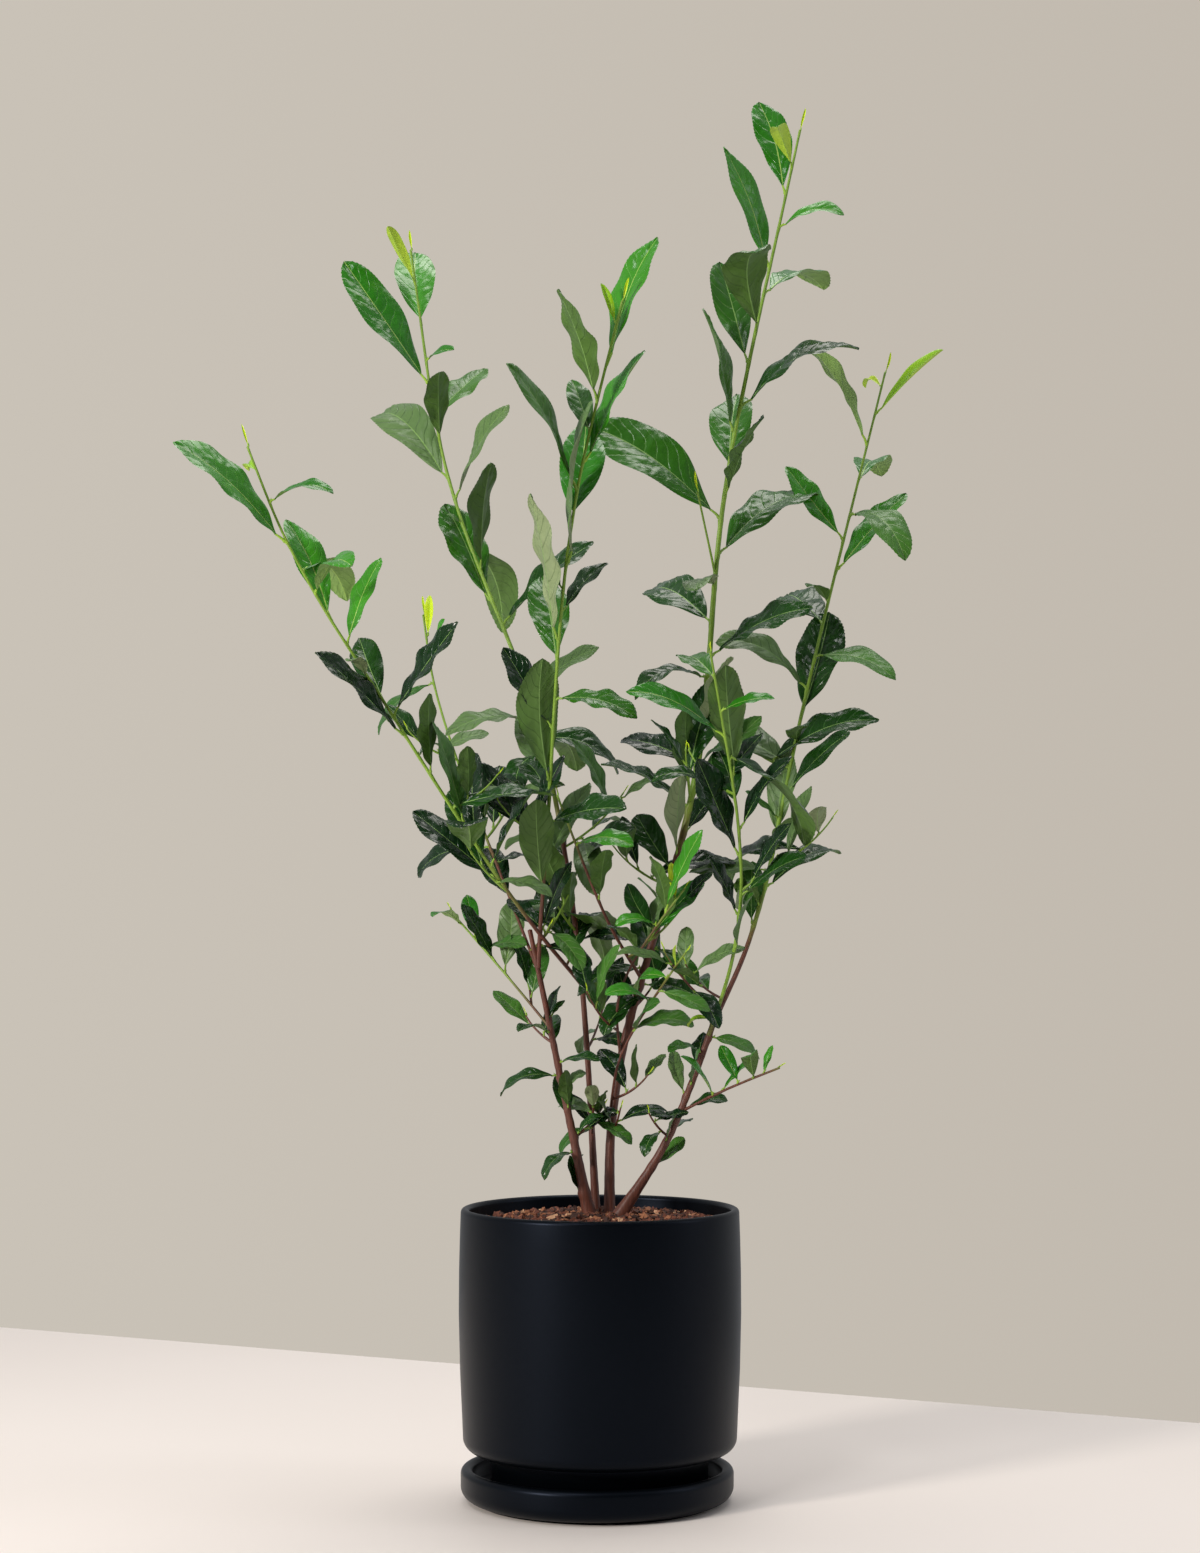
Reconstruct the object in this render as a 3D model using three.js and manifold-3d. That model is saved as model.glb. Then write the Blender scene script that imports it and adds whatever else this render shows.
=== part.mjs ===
// Tea bush (Camellia sinensis): a young many-stemmed plant in a black pot that stands in its saucer.
// Millimetres, +Z up, the plant's front towards -Y. The origin is on the pot's axis, level with the
// saucer's flat underside.
import * as THREE from "three";
import { mergeVertices } from "three/addons/utils/BufferGeometryUtils.js";
import Module from "manifold-3d";

const wasm = await Module();
wasm.setup();

// ---- Driving sizes ----
const GAP = 0.3; // clearance between pieces that rest on, or are cut round, each other

const ROUND_SEGMENTS = 28; // sides of the pot, saucer and potting mix
const ARC_STEPS = 3; // chords in each rounded edge

const SAUCER_RADIUS = 98.2;
const SAUCER_FOOT_RADIUS = 86; // the flat underside
const SAUCER_HEIGHT = 25;
const SAUCER_WALL = 8.8;
const SAUCER_FLOOR = 7; // floor thickness
const SAUCER_SHIFT_X = -2; // the saucer sits a little to the left of the pot

const POT_FOOT_RADIUS = 78; // the narrow foot ring that hides in the saucer
const POT_FOOT_WALL = 8;
const POT_BOTTOM = 36.5; // underside of the body, above the saucer's lip
const POT_LOWER_RADIUS = 98.6;
const POT_BELLY_RADIUS = 101.6;
const POT_BELLY_HEIGHT = 140;
const POT_RIM_RADIUS = 100.2;
const POT_RIM_HEIGHT = 211;
const POT_INNER_RADIUS = 94;
const POT_FLOOR_HEIGHT = 45;

const SOIL_EDGE_HEIGHT = 202;
const SOIL_TOP_HEIGHT = 207;
const SOIL_TOP_RADIUS = 48; // the level middle, where the stems come out
const STEM_BASE = SOIL_TOP_HEIGHT + GAP; // the stems' flat cut at ground level

const LIMB_SIDES = 6;
const LIMB_STEP = 56; // length of limb between two rings
const FLARE_WIDTH = 1.7; // extra radius of a stem where it meets the ground

const MASS_POINTEDNESS = 1.65; // 2 is a plain ellipsoid, less draws the reaches out into points
const MASS_UNEVENNESS = 0.24;
const MASS_CLEARANCE = 0.9; // grown onto a mass before it is cut out of its neighbour
const SEED = 41;

// ---- Colours ----
const CERAMIC = { color: 0x1e2124, roughness: 0.5, metalness: 0 };
const BARK_MIX = { color: 0x6b3a26, roughness: 0.95, metalness: 0 };
const OLD_BARK = { color: 0x5a3426, roughness: 0.8, metalness: 0 };
const YOUNG_BARK = { color: 0x86a548, roughness: 0.6, metalness: 0 };
const OLD_LEAF = { color: 0x264a2a, roughness: 0.5, metalness: 0 };
const YOUNG_LEAF = { color: 0x5f9a34, roughness: 0.5, metalness: 0 };

// ---- The limbs ----
// A stem starts at ground level at its foot. A shoot starts on the axis of the limb that bears it, at
// the height of its fork. Between there and its tip a limb passes only the elbows where it turns.
// Radii are at the foot and at the tip. Points are x to the right, y to the back, z up.
const STEMS = [
  { name: "stem_left", radius: [3.6, 1.9], foot: [-8, 0], elbows: [], tip: [-50, -20, 410] },
  {
    name: "stem_middle",
    radius: [2.7, 1.0],
    foot: [-3, 26],
    elbows: [[-15, 25, 390], [-45, 55, 560], [-115, 105, 750]],
    tip: [-145, 135, 930],
  },
  {
    name: "stem_tall",
    radius: [3.8, 1.0],
    foot: [7, 13],
    elbows: [[10, 15, 295], [70, 25, 520], [90, 25, 725]],
    tip: [145, 15, 990],
  },
  { name: "stem_right", radius: [3.3, 2.4], foot: [15, -6], elbows: [[50, -5, 260]], tip: [85, -15, 355] },
];

const SHOOTS = [
  {
    name: "shoot_centre",
    from: "stem_left",
    fork: 385,
    radius: [1.7, 1.0],
    elbows: [[-38, -35, 470], [-20, -100, 690]],
    tip: [15, -135, 835],
  },
  {
    name: "shoot_back_left",
    from: "stem_left",
    fork: 380,
    radius: [1.3, 0.9],
    elbows: [[-60, 10, 420], [-125, 105, 590]],
    tip: [-135, 130, 650],
  },
  {
    name: "shoot_low_left",
    from: "stem_left",
    fork: 340,
    radius: [1.1, 0.8],
    elbows: [[-65, 5, 375]],
    tip: [-110, 30, 425],
  },
  {
    name: "shoot_far_left",
    from: "stem_middle",
    fork: 370,
    radius: [1.7, 0.9],
    elbows: [[-60, -50, 430], [-160, -80, 585], [-210, -100, 665]],
    tip: [-240, -115, 740],
  },
  {
    name: "shoot_inner",
    from: "stem_tall",
    fork: 375,
    radius: [1.5, 0.9],
    elbows: [[10, -10, 405]],
    tip: [-30, -50, 505],
  },
  {
    name: "shoot_leaning",
    from: "stem_tall",
    fork: 320,
    radius: [1.2, 0.8],
    elbows: [[10, -10, 365]],
    tip: [60, -40, 440],
  },
  {
    name: "shoot_crossing",
    from: "stem_tall",
    fork: 270,
    radius: [1.2, 0.8],
    elbows: [[10, -10, 315]],
    tip: [60, -60, 395],
  },
  {
    name: "shoot_right",
    from: "stem_right",
    fork: 345,
    radius: [2.1, 0.9],
    elbows: [[110, 10, 405], [150, 55, 575]],
    tip: [215, 100, 830],
  },
  {
    name: "shoot_front_right",
    from: "stem_right",
    fork: 335,
    radius: [1.6, 0.9],
    elbows: [[95, -35, 390], [100, -60, 455]],
    tip: [75, -120, 600],
  },
  {
    name: "shoot_low_right",
    from: "stem_right",
    fork: 280,
    radius: [1.1, 0.8],
    elbows: [[90, -30, 300]],
    tip: [130, -55, 315],
  },
  {
    name: "shoot_small_side",
    from: "stem_tall",
    fork: 670,
    radius: [1.0, 0.8],
    elbows: [],
    tip: [70, -5, 725],
  },
];
const GREEN_SHOOTS = ["shoot_centre", "shoot_right", "shoot_front_right", "shoot_small_side"];

// ---- The masses of leaves ----
// A tea shoot carries its leaves in flushes, one clump above the other. Each crown is one limb's leafy
// stretch: the heights between which its leaves stand, its clumps from the bottom up, and how far its
// fullest clump reaches to the left and right, and to the front and back.
const CLUMP_OVERLAP = 1.15; // a clump's height over the space between two clumps
const REACH_CHANGE = 0.14; // most that a clump's reach departs from the crown's by chance
const FULLNESS = { foot: 0.65, low: 0.75, lower: 0.9, middle: 1, upper: 0.95, top: 0.85 }; // of the reach
const CROWNS = {
  shoot_far_left: {
    heights: [440, 760],
    clumps: ["lower", "middle", "upper", "top"],
    sides: [80, 50],
    depths: [50, 50],
  },
  stem_middle: {
    heights: [390, 955],
    clumps: ["low", "lower", "middle", "upper", "top"],
    sides: [75, 70],
    depths: [45, 65],
  },
  shoot_centre: {
    heights: [430, 885],
    clumps: ["low", "middle", "upper", "top"],
    sides: [70, 65],
    depths: [60, 50],
  },
  stem_tall: {
    heights: [320, 1040],
    clumps: ["foot", "low", "lower", "middle", "upper", "top"],
    sides: [85, 70],
    depths: [60, 65],
  },
  shoot_right: {
    heights: [400, 850],
    clumps: ["low", "middle", "upper", "top"],
    sides: [70, 95],
    depths: [45, 60],
  },
  shoot_front_right: {
    heights: [405, 650],
    clumps: ["low", "top"],
    sides: [80, 50],
    depths: [60, 40],
  },
  shoot_back_left: {
    heights: [410, 685],
    clumps: ["low", "top"],
    sides: [50, 45],
    depths: [40, 60],
  },
  shoot_low_left: {
    heights: [365, 435],
    clumps: ["middle"],
    sides: [55, 30],
    depths: [35, 40],
  },
  shoot_inner: {
    heights: [425, 535],
    clumps: ["middle"],
    sides: [30, 40],
    depths: [40, 25],
  },
  shoot_leaning: {
    heights: [380, 475],
    clumps: ["middle"],
    sides: [40, 40],
    depths: [40, 25],
  },
  shoot_crossing: {
    heights: [340, 405],
    clumps: ["middle"],
    sides: [40, 30],
    depths: [45, 20],
  },
  shoot_low_right: {
    heights: [260, 350],
    clumps: ["middle"],
    sides: [45, 65],
    depths: [40, 35],
  },
  stem_right: {
    heights: [240, 370],
    clumps: ["foot", "middle"],
    sides: [35, 55],
    depths: [35, 45],
  },
  stem_left: {
    heights: [225, 355],
    clumps: ["foot", "middle"],
    sides: [45, 25],
    depths: [40, 30],
  },
};

// ---- Solids ----

// A closed geometry as a manifold-3d solid: only the merged positions are kept.
function solidOf(geometry) {
  const bare = new THREE.BufferGeometry();
  bare.setAttribute("position", geometry.getAttribute("position"));
  bare.setIndex(geometry.getIndex());
  const merged = mergeVertices(bare, 1e-4);
  return new wasm.Manifold(
    new wasm.Mesh({
      numProp: 3,
      vertProperties: new Float32Array(merged.getAttribute("position").array),
      triVerts: new Uint32Array(merged.getIndex().array),
    }),
  );
}

// A solid's largest body as a geometry.
function geometryOf(solid) {
  const bodies = solid.decompose();
  bodies.sort((a, b) => b.volume() - a.volume());
  const mesh = bodies[0].getMesh();
  const geometry = new THREE.BufferGeometry();
  geometry.setAttribute("position", new THREE.BufferAttribute(mesh.vertProperties, 3));
  geometry.setIndex(new THREE.BufferAttribute(mesh.triVerts, 1));
  geometry.computeVertexNormals();
  return geometry;
}

// Whether two solids are near enough for one to cut the other.
function boxesMeet(a, b) {
  const boxA = a.boundingBox();
  const boxB = b.boundingBox();
  return [0, 1, 2].every((i) => boxA.min[i] <= boxB.max[i] && boxB.min[i] <= boxA.max[i]);
}

// What is left of a solid when its neighbours are cut out of it.
function cutRound(solid, neighbours) {
  return neighbours
    .filter((other) => boxesMeet(solid, other))
    .reduce((left, other) => left.subtract(other), solid);
}

// A repeatable run of numbers from 0 to 1.
function seededNumbers(seed) {
  let state = seed;
  return () => {
    state = (state * 16807) % 2147483647;
    return state / 2147483647;
  };
}

// ---- Pot, saucer and potting mix: profiles of radius and height, turned about the axis ----

// Points of an arc between two angles in degrees, as radius and height.
function arc(radius, height, size, from, to) {
  return Array.from({ length: ARC_STEPS + 1 }, (_, i) => {
    const angle = THREE.MathUtils.degToRad(from + ((to - from) * i) / ARC_STEPS);
    return [radius + size * Math.cos(angle), height + size * Math.sin(angle)];
  });
}

function turned(profile) {
  const points = profile.map(([radius, height]) => new THREE.Vector2(radius, height));
  const geometry = new THREE.LatheGeometry(points, ROUND_SEGMENTS);
  return geometry.rotateX(Math.PI / 2);
}

function saucerGeometry() {
  const edge = SAUCER_RADIUS - SAUCER_FOOT_RADIUS;
  const lip = SAUCER_WALL / 2;
  const lipCentre = SAUCER_RADIUS - lip;
  const inner = SAUCER_RADIUS - SAUCER_WALL;
  return turned([
    [0, 0],
    ...arc(SAUCER_FOOT_RADIUS, edge * 0.8, edge * 0.8, -90, -20),
    [SAUCER_RADIUS, edge],
    ...arc(lipCentre, SAUCER_HEIGHT - lip, lip, 0, 150),
    [inner, SAUCER_FLOOR + lip],
    [inner - lip, SAUCER_FLOOR],
    [0, SAUCER_FLOOR],
  ]);
}

function potGeometry() {
  const footTop = SAUCER_FLOOR + GAP;
  const edge = 10;
  const lip = (POT_RIM_RADIUS - POT_INNER_RADIUS) / 2;
  return turned([
    [0, POT_BOTTOM],
    [POT_FOOT_RADIUS - POT_FOOT_WALL, POT_BOTTOM],
    [POT_FOOT_RADIUS - POT_FOOT_WALL, footTop],
    [POT_FOOT_RADIUS, footTop],
    [POT_FOOT_RADIUS, POT_BOTTOM],
    ...arc(POT_LOWER_RADIUS - edge, POT_BOTTOM + edge, edge, -90, 0),
    [(POT_LOWER_RADIUS + POT_BELLY_RADIUS) / 2 + 0.6, (POT_BOTTOM + POT_BELLY_HEIGHT) / 2],
    [POT_BELLY_RADIUS, POT_BELLY_HEIGHT],
    ...arc(POT_RIM_RADIUS - lip, POT_RIM_HEIGHT - lip, lip, 0, 180),
    [POT_INNER_RADIUS, POT_FLOOR_HEIGHT],
    [0, POT_FLOOR_HEIGHT],
  ]);
}

function pottingMixGeometry() {
  const radius = POT_INNER_RADIUS - GAP;
  return turned([
    [0, POT_FLOOR_HEIGHT + GAP],
    [radius, POT_FLOOR_HEIGHT + GAP],
    [radius, SOIL_EDGE_HEIGHT],
    [SOIL_TOP_RADIUS, SOIL_TOP_HEIGHT],
    [0, SOIL_TOP_HEIGHT],
  ]);
}

// ---- Limbs ----

function curveOf(places) {
  const points = places.map(([x, y, z]) => new THREE.Vector3(x, y, z));
  return new THREE.CatmullRomCurve3(points, false, "centripetal");
}

// The place on a curve that climbs all the way, at a height, by halving.
function pointAtHeight(curve, height) {
  let low = 0;
  let high = 1;
  for (let i = 0; i < 30; i++) {
    const middle = (low + high) / 2;
    if (curve.getPointAt(middle).z < height) low = middle;
    else high = middle;
  }
  return curve.getPointAt(low);
}

// A closed tapering tube along a curve. A stem is cut level at the ground and flares there.
// Grown by an amount, the same tube is the space that its neighbours are cut back from.
function limbGeometry(curve, [footRadius, tipRadius], isStem, grow = 0) {
  const steps = Math.max(3, Math.round(curve.getLength() / LIMB_STEP));
  const frames = curve.computeFrenetFrames(steps, false);
  const sideGrow = grow / Math.cos(Math.PI / LIMB_SIDES);
  const positions = [];
  for (let i = 0; i <= steps; i++) {
    const centre = curve.getPointAt(i / steps);
    const along = curve.getTangentAt(i / steps);
    if (i === 0) centre.addScaledVector(along, -grow);
    if (i === steps) centre.addScaledVector(along, grow);
    const flare = isStem && i === 0 ? FLARE_WIDTH : 0;
    const radius = THREE.MathUtils.lerp(footRadius, tipRadius, i / steps) + flare + sideGrow;
    for (let k = 0; k < LIMB_SIDES; k++) {
      const angle = (2 * Math.PI * k) / LIMB_SIDES;
      const point = centre.clone();
      point.addScaledVector(frames.normals[i], radius * Math.cos(angle));
      point.addScaledVector(frames.binormals[i], radius * Math.sin(angle));
      if (isStem && i === 0) point.z = centre.z;
      positions.push(...point.toArray());
    }
    if (i === 0 || i === steps) positions.push(...centre.toArray());
  }
  const geometry = new THREE.BufferGeometry();
  geometry.setAttribute("position", new THREE.Float32BufferAttribute(positions, 3));
  geometry.setIndex(tubeFaces(steps));
  return geometry;
}

// Faces of a tube whose rings follow each other, with a middle point after the first and last ring.
function tubeFaces(steps) {
  const ringStart = (i) => i * LIMB_SIDES + (i > 0 ? 1 : 0);
  const foot = LIMB_SIDES;
  const tip = ringStart(steps) + LIMB_SIDES;
  const faces = [];
  for (let k = 0; k < LIMB_SIDES; k++) {
    const next = (k + 1) % LIMB_SIDES;
    faces.push(foot, next, k);
    faces.push(tip, ringStart(steps) + k, ringStart(steps) + next);
    for (let i = 0; i < steps; i++) {
      const low = ringStart(i);
      const high = ringStart(i + 1);
      faces.push(low + k, low + next, high + next);
      faces.push(low + k, high + next, high + k);
    }
  }
  return faces;
}

// ---- Masses of leaves ----

// An uneven closed lump round a centre, whose six reaches are exact and drawn out to blunt points.
function lumpGeometry(centre, [sides, depths, heights], seed, grow = 0) {
  const random = seededNumbers(seed);
  const ball = mergeVertices(barePositions(new THREE.IcosahedronGeometry(1, 1)), 1e-4);
  const positions = ball.getAttribute("position");
  for (let i = 0; i < positions.count; i++) {
    const direction = new THREE.Vector3().fromBufferAttribute(positions, i);
    const reach = [
      direction.x < 0 ? sides[0] : sides[1],
      direction.y < 0 ? depths[0] : depths[1],
      direction.z < 0 ? heights[0] : heights[1],
    ];
    const sum = direction
      .toArray()
      .reduce((total, part, k) => total + (Math.abs(part) / reach[k]) ** MASS_POINTEDNESS, 0);
    const onAxis = Math.max(...direction.toArray().map(Math.abs)) > 0.999;
    const uneven = onAxis ? 1 : 1 - MASS_UNEVENNESS * random();
    const radius = (1 / sum) ** (1 / MASS_POINTEDNESS) * uneven + grow;
    direction.multiplyScalar(radius).add(centre);
    positions.setXYZ(i, direction.x, direction.y, direction.z);
  }
  return ball;
}

// The clumps of one limb's crown, evenly spaced, each a little fuller or sparser by chance. The lowest
// reaches down to the crown's bottom and the highest up to its top.
function clumpsOf([limb, { heights: [bottom, top], clumps, sides, depths }], number) {
  const random = seededNumbers(SEED + number);
  const space = (top - bottom) / clumps.length;
  const halfHeight = (space * CLUMP_OVERLAP) / 2;
  return clumps.map((part, i) => {
    const centre = pointAtHeight(curves[limb], bottom + space * (i + 0.5));
    const reachOf = (most) => most * FULLNESS[part] * (1 + REACH_CHANGE * (2 * random() - 1));
    const down = i === 0 ? centre.z - bottom : halfHeight;
    const up = i === clumps.length - 1 ? top - centre.z : halfHeight;
    return {
      name: `leaves_${limb}_${part}`,
      centre,
      reaches: [sides.map(reachOf), depths.map(reachOf), [down, up]],
      look: part === "top" ? YOUNG_LEAF : OLD_LEAF,
    };
  });
}

function barePositions(geometry) {
  const bare = new THREE.BufferGeometry();
  bare.setAttribute("position", geometry.getAttribute("position"));
  return bare;
}

// ---- The plant and its pot ----
const teaBush = new THREE.Group();
teaBush.name = "tea_bush";

function add(name, geometry, look) {
  const mesh = new THREE.Mesh(geometry, new THREE.MeshStandardMaterial(look));
  mesh.name = name;
  teaBush.add(mesh);
  return mesh;
}

add("saucer", saucerGeometry(), CERAMIC).position.x = SAUCER_SHIFT_X;
add("pot", potGeometry(), CERAMIC);
add("potting_mix", pottingMixGeometry(), BARK_MIX);

const curves = {};
const limbSpaces = [];
for (const limb of [...STEMS, ...SHOOTS]) {
  const isStem = !limb.from;
  const start = isStem ? [...limb.foot, STEM_BASE] : pointAtHeight(curves[limb.from], limb.fork).toArray();
  const curve = curveOf([start, ...limb.elbows, limb.tip]);
  const solid = cutRound(solidOf(limbGeometry(curve, limb.radius, isStem)), limbSpaces);
  add(limb.name, geometryOf(solid), GREEN_SHOOTS.includes(limb.name) ? YOUNG_BARK : OLD_BARK);
  limbSpaces.push(solidOf(limbGeometry(curve, limb.radius, isStem, GAP)));
  curves[limb.name] = curve;
}

const massSpaces = [];
for (const clump of Object.entries(CROWNS).flatMap(clumpsOf)) {
  const seed = SEED + massSpaces.length;
  const solid = solidOf(lumpGeometry(clump.centre, clump.reaches, seed));
  add(clump.name, geometryOf(cutRound(solid, [...limbSpaces, ...massSpaces])), clump.look);
  massSpaces.push(solidOf(lumpGeometry(clump.centre, clump.reaches, seed, MASS_CLEARANCE)));
}

export default teaBush;
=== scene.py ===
# %% [markdown]
# # A tea bush in a black pot
#
# This lesson dresses a packed construction model of a young tea bush (Camellia sinensis) with what
# the eye wants to see: bark, leaf stalks, toothed and quilted leaves, buds, chips of bark round the
# stems, and a matt black glaze on the pot. The construction model gives every size and place. Its
# limbs are plain tapering tubes and each cluster of leaves is one plain lump, so here the tubes are
# replaced by bark, and the lumps by leaves that grow on from the limbs.

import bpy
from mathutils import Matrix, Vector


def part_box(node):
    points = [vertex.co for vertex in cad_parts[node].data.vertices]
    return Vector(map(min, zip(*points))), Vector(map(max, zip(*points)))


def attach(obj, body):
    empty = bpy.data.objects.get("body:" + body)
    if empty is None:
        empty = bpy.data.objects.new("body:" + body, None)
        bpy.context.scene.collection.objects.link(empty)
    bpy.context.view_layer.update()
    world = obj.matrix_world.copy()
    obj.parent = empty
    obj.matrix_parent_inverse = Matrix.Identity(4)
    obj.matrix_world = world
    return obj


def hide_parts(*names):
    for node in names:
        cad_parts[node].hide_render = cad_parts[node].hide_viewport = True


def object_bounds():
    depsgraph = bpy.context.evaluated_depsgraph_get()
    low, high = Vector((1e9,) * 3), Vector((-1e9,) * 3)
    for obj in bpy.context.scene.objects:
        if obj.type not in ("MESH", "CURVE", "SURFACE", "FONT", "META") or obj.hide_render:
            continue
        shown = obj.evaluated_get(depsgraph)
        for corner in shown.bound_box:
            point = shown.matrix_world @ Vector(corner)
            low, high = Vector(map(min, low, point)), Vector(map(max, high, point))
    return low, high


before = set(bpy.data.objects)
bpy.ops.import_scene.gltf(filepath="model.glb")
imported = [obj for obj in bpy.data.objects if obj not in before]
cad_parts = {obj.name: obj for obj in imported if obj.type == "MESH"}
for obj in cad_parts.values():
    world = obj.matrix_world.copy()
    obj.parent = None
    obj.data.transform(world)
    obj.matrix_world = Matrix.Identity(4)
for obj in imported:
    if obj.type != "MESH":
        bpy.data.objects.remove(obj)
cad_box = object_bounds()
print("construction nodes:", len(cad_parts))

# %% Libraries and units
import math

import bpy
import numpy as np
from mathutils import Vector
from mathutils.bvhtree import BVHTree

MM = 0.001
BODY = "root"
draw = np.random.default_rng(73)
print("one seed feeds every random draw, so the plant grows the same way each time")

# %% [markdown]
# ## The camera
#
# The plant is seen from about two metres away and from twice the height of the pot's rim, through a
# long lens. The camera looks level, so the pot's sides stay upright, and the lens is shifted up just
# enough to centre the plant in the frame. How much height the frame takes in gives the focal length.

# %% Camera
CAMERA_DISTANCE = 2.12
CAMERA_HEIGHT = 0.424
MIDDLE_HEIGHT = 0.5208  # the height at the pot's axis that comes to the middle of the frame
SEEN_HEIGHT = 1.118
SENSOR = 36.0  # mm, along the frame's long side

camera_data = bpy.data.cameras.new("camera")
camera_data.sensor_width = SENSOR
camera_data.lens = SENSOR * CAMERA_DISTANCE / SEEN_HEIGHT
camera_data.shift_y = (MIDDLE_HEIGHT - CAMERA_HEIGHT) / SEEN_HEIGHT
camera = bpy.data.objects.new("camera", camera_data)
bpy.context.scene.collection.objects.link(camera)
camera.location = (0, -CAMERA_DISTANCE, CAMERA_HEIGHT)
camera.rotation_euler = (math.pi / 2, 0, 0)
bpy.context.scene.camera = camera
bpy.context.scene.view_settings.view_transform = "Standard"
print("lens", round(camera_data.lens, 1), "mm, raised by", round(camera_data.shift_y, 4), "of the frame")

# %% [markdown]
# ## Colours and shader nodes
#
# Colours are written as they would be picked on a screen, in sRGB hex, and Blender works in linear
# light, so one function turns the first into the second. Every material below is a small tree of
# nodes, and one helper adds a node with its values and its links.


# %% Colour and node helpers
def linear(hex_colour):
    """An sRGB hex colour such as "#1f3d22" as linear red, green, blue and alpha."""
    parts = [int(hex_colour[i : i + 2], 16) / 255 for i in (1, 3, 5)]
    curve = [c / 12.92 if c <= 0.04045 else ((c + 0.055) / 1.055) ** 2.4 for c in parts]
    return (*curve, 1.0)


def add_node(tree, kind, values=None, links=None, **properties):
    """Adds a node, sets its properties and input values, and links outputs to its inputs."""
    node = tree.nodes.new(kind)
    for name, value in properties.items():
        setattr(node, name, value)
    for socket, value in (values or {}).items():
        node.inputs[socket].default_value = value
    for socket, output in (links or {}).items():
        tree.links.new(output, node.inputs[socket])
    return node


def new_material(name):
    """An empty material, with its node tree and its place on the object in metres."""
    material = bpy.data.materials.new(name)
    material.use_nodes = True
    tree = material.node_tree
    tree.nodes.clear()
    place = tree.nodes.new("ShaderNodeTexCoord").outputs["Object"]
    return material, tree, place


def surface(tree, values, links):
    """The Principled shader that ends each material."""
    shader = add_node(tree, "ShaderNodeBsdfPrincipled", values, links)
    output = tree.nodes.new("ShaderNodeOutputMaterial")
    tree.links.new(shader.outputs["BSDF"], output.inputs["Surface"])


COLOUR_A, COLOUR_B, MIXED_COLOUR = 6, 7, 2  # sockets of a Mix node that mixes colours


def blend(tree, factor, first, second):
    """A mix of two colours, each a hex colour or the output of another node."""
    mix = add_node(tree, "ShaderNodeMix", links={"Factor": factor}, data_type="RGBA")
    for socket, colour in ((COLOUR_A, first), (COLOUR_B, second)):
        if isinstance(colour, str):
            mix.inputs[socket].default_value = linear(colour)
        else:
            tree.links.new(colour, mix.inputs[socket])
    return mix.outputs[MIXED_COLOUR]


def noise(tree, place, scale, detail=2.0):
    """Soft blotches, the largest about 1 / scale metres across, as an output from 0 to 1."""
    return add_node(
        tree, "ShaderNodeTexNoise", {"Scale": scale, "Detail": detail}, {"Vector": place}
    ).outputs["Fac"]


def ramp(tree, value, low, high):
    """An output that climbs from 0 to 1 while a value goes from low to high."""
    return add_node(
        tree, "ShaderNodeMapRange", {"From Min": low, "From Max": high}, {"Value": value}
    ).outputs["Result"]


def bump(tree, height, strength, depth):
    """A surface direction that follows a height from 0 to 1, which stands for so many mm."""
    return add_node(
        tree, "ShaderNodeBump", {"Strength": strength, "Distance": depth * MM}, {"Height": height}
    ).outputs["Normal"]


def calculated(tree, operation, first, number=None, links=None):
    """The outcome of a Math node for an output, with a plain number or further outputs if given."""
    values = {} if number is None else {1: number}
    return add_node(
        tree, "ShaderNodeMath", values, {0: first, **(links or {})}, operation=operation
    ).outputs[0]


print("helpers ready, for example", [round(c, 3) for c in linear("#1f3d22")])

# %% [markdown]
# ## The table, the wall and the lamps
#
# A pale painted table top carries the pot. Its back edge runs at a slant behind the plant. The wall
# is only the world's own warm grey, so nothing stands in the way of a look from behind. Its grey is
# painted lighter on the left and darker on the right, as painted light from the window side. What the
# glaze and the leaves mirror is another matter: a studio is bright at the sides and above, and dark
# behind the camera. So the world has two looks, the wall for what is seen past the plant, and the
# studio for the light that falls on it.

# %% The wall that is seen and the studio that gives light
# the wall's grey is painted lighter on the left and darker on the right, as painted light from the window
# side
WALL_LIT_LEFT, WALL_SHADED_RIGHT = "#ccc5ba", "#bfb7ac"
STUDIO_SIDE, STUDIO_FRONT = "#b1b2b4", "#1c1c1f"
TABLE_BACK_EDGE = ((-4.0, 2.60), (4.0, -1.46))
TABLE_FRONT = -4.0

world = bpy.data.worlds.new("studio")
bpy.context.scene.world = world
world.use_nodes = True
sky = world.node_tree
way = add_node(sky, "ShaderNodeTexCoord").outputs["Generated"]
axes = add_node(sky, "ShaderNodeSeparateXYZ", links={"Vector": way})
wall = blend(sky, ramp(sky, axes.outputs["X"], -0.35, 0.35), WALL_LIT_LEFT, WALL_SHADED_RIGHT)
studio = blend(sky, ramp(sky, axes.outputs["Y"], -0.9, -0.25), STUDIO_FRONT, STUDIO_SIDE)
seen = add_node(sky, "ShaderNodeLightPath").outputs["Is Camera Ray"]
sky.links.new(blend(sky, seen, studio, wall), sky.nodes["Background"].inputs["Color"])
print("world nodes:", len(sky.nodes))


# %% Table
def painted_board():
    """Board with an eggshell paint: pale, warm, hardly any gloss, faintly uneven."""
    material, tree, place = new_material("painted_board")
    paint = blend(tree, noise(tree, place, 2.0), "#eee5de", "#f3ebe5")
    surface(tree, {"Roughness": 0.6, "IOR": 1.4}, {"Base Color": paint})
    return material


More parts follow.
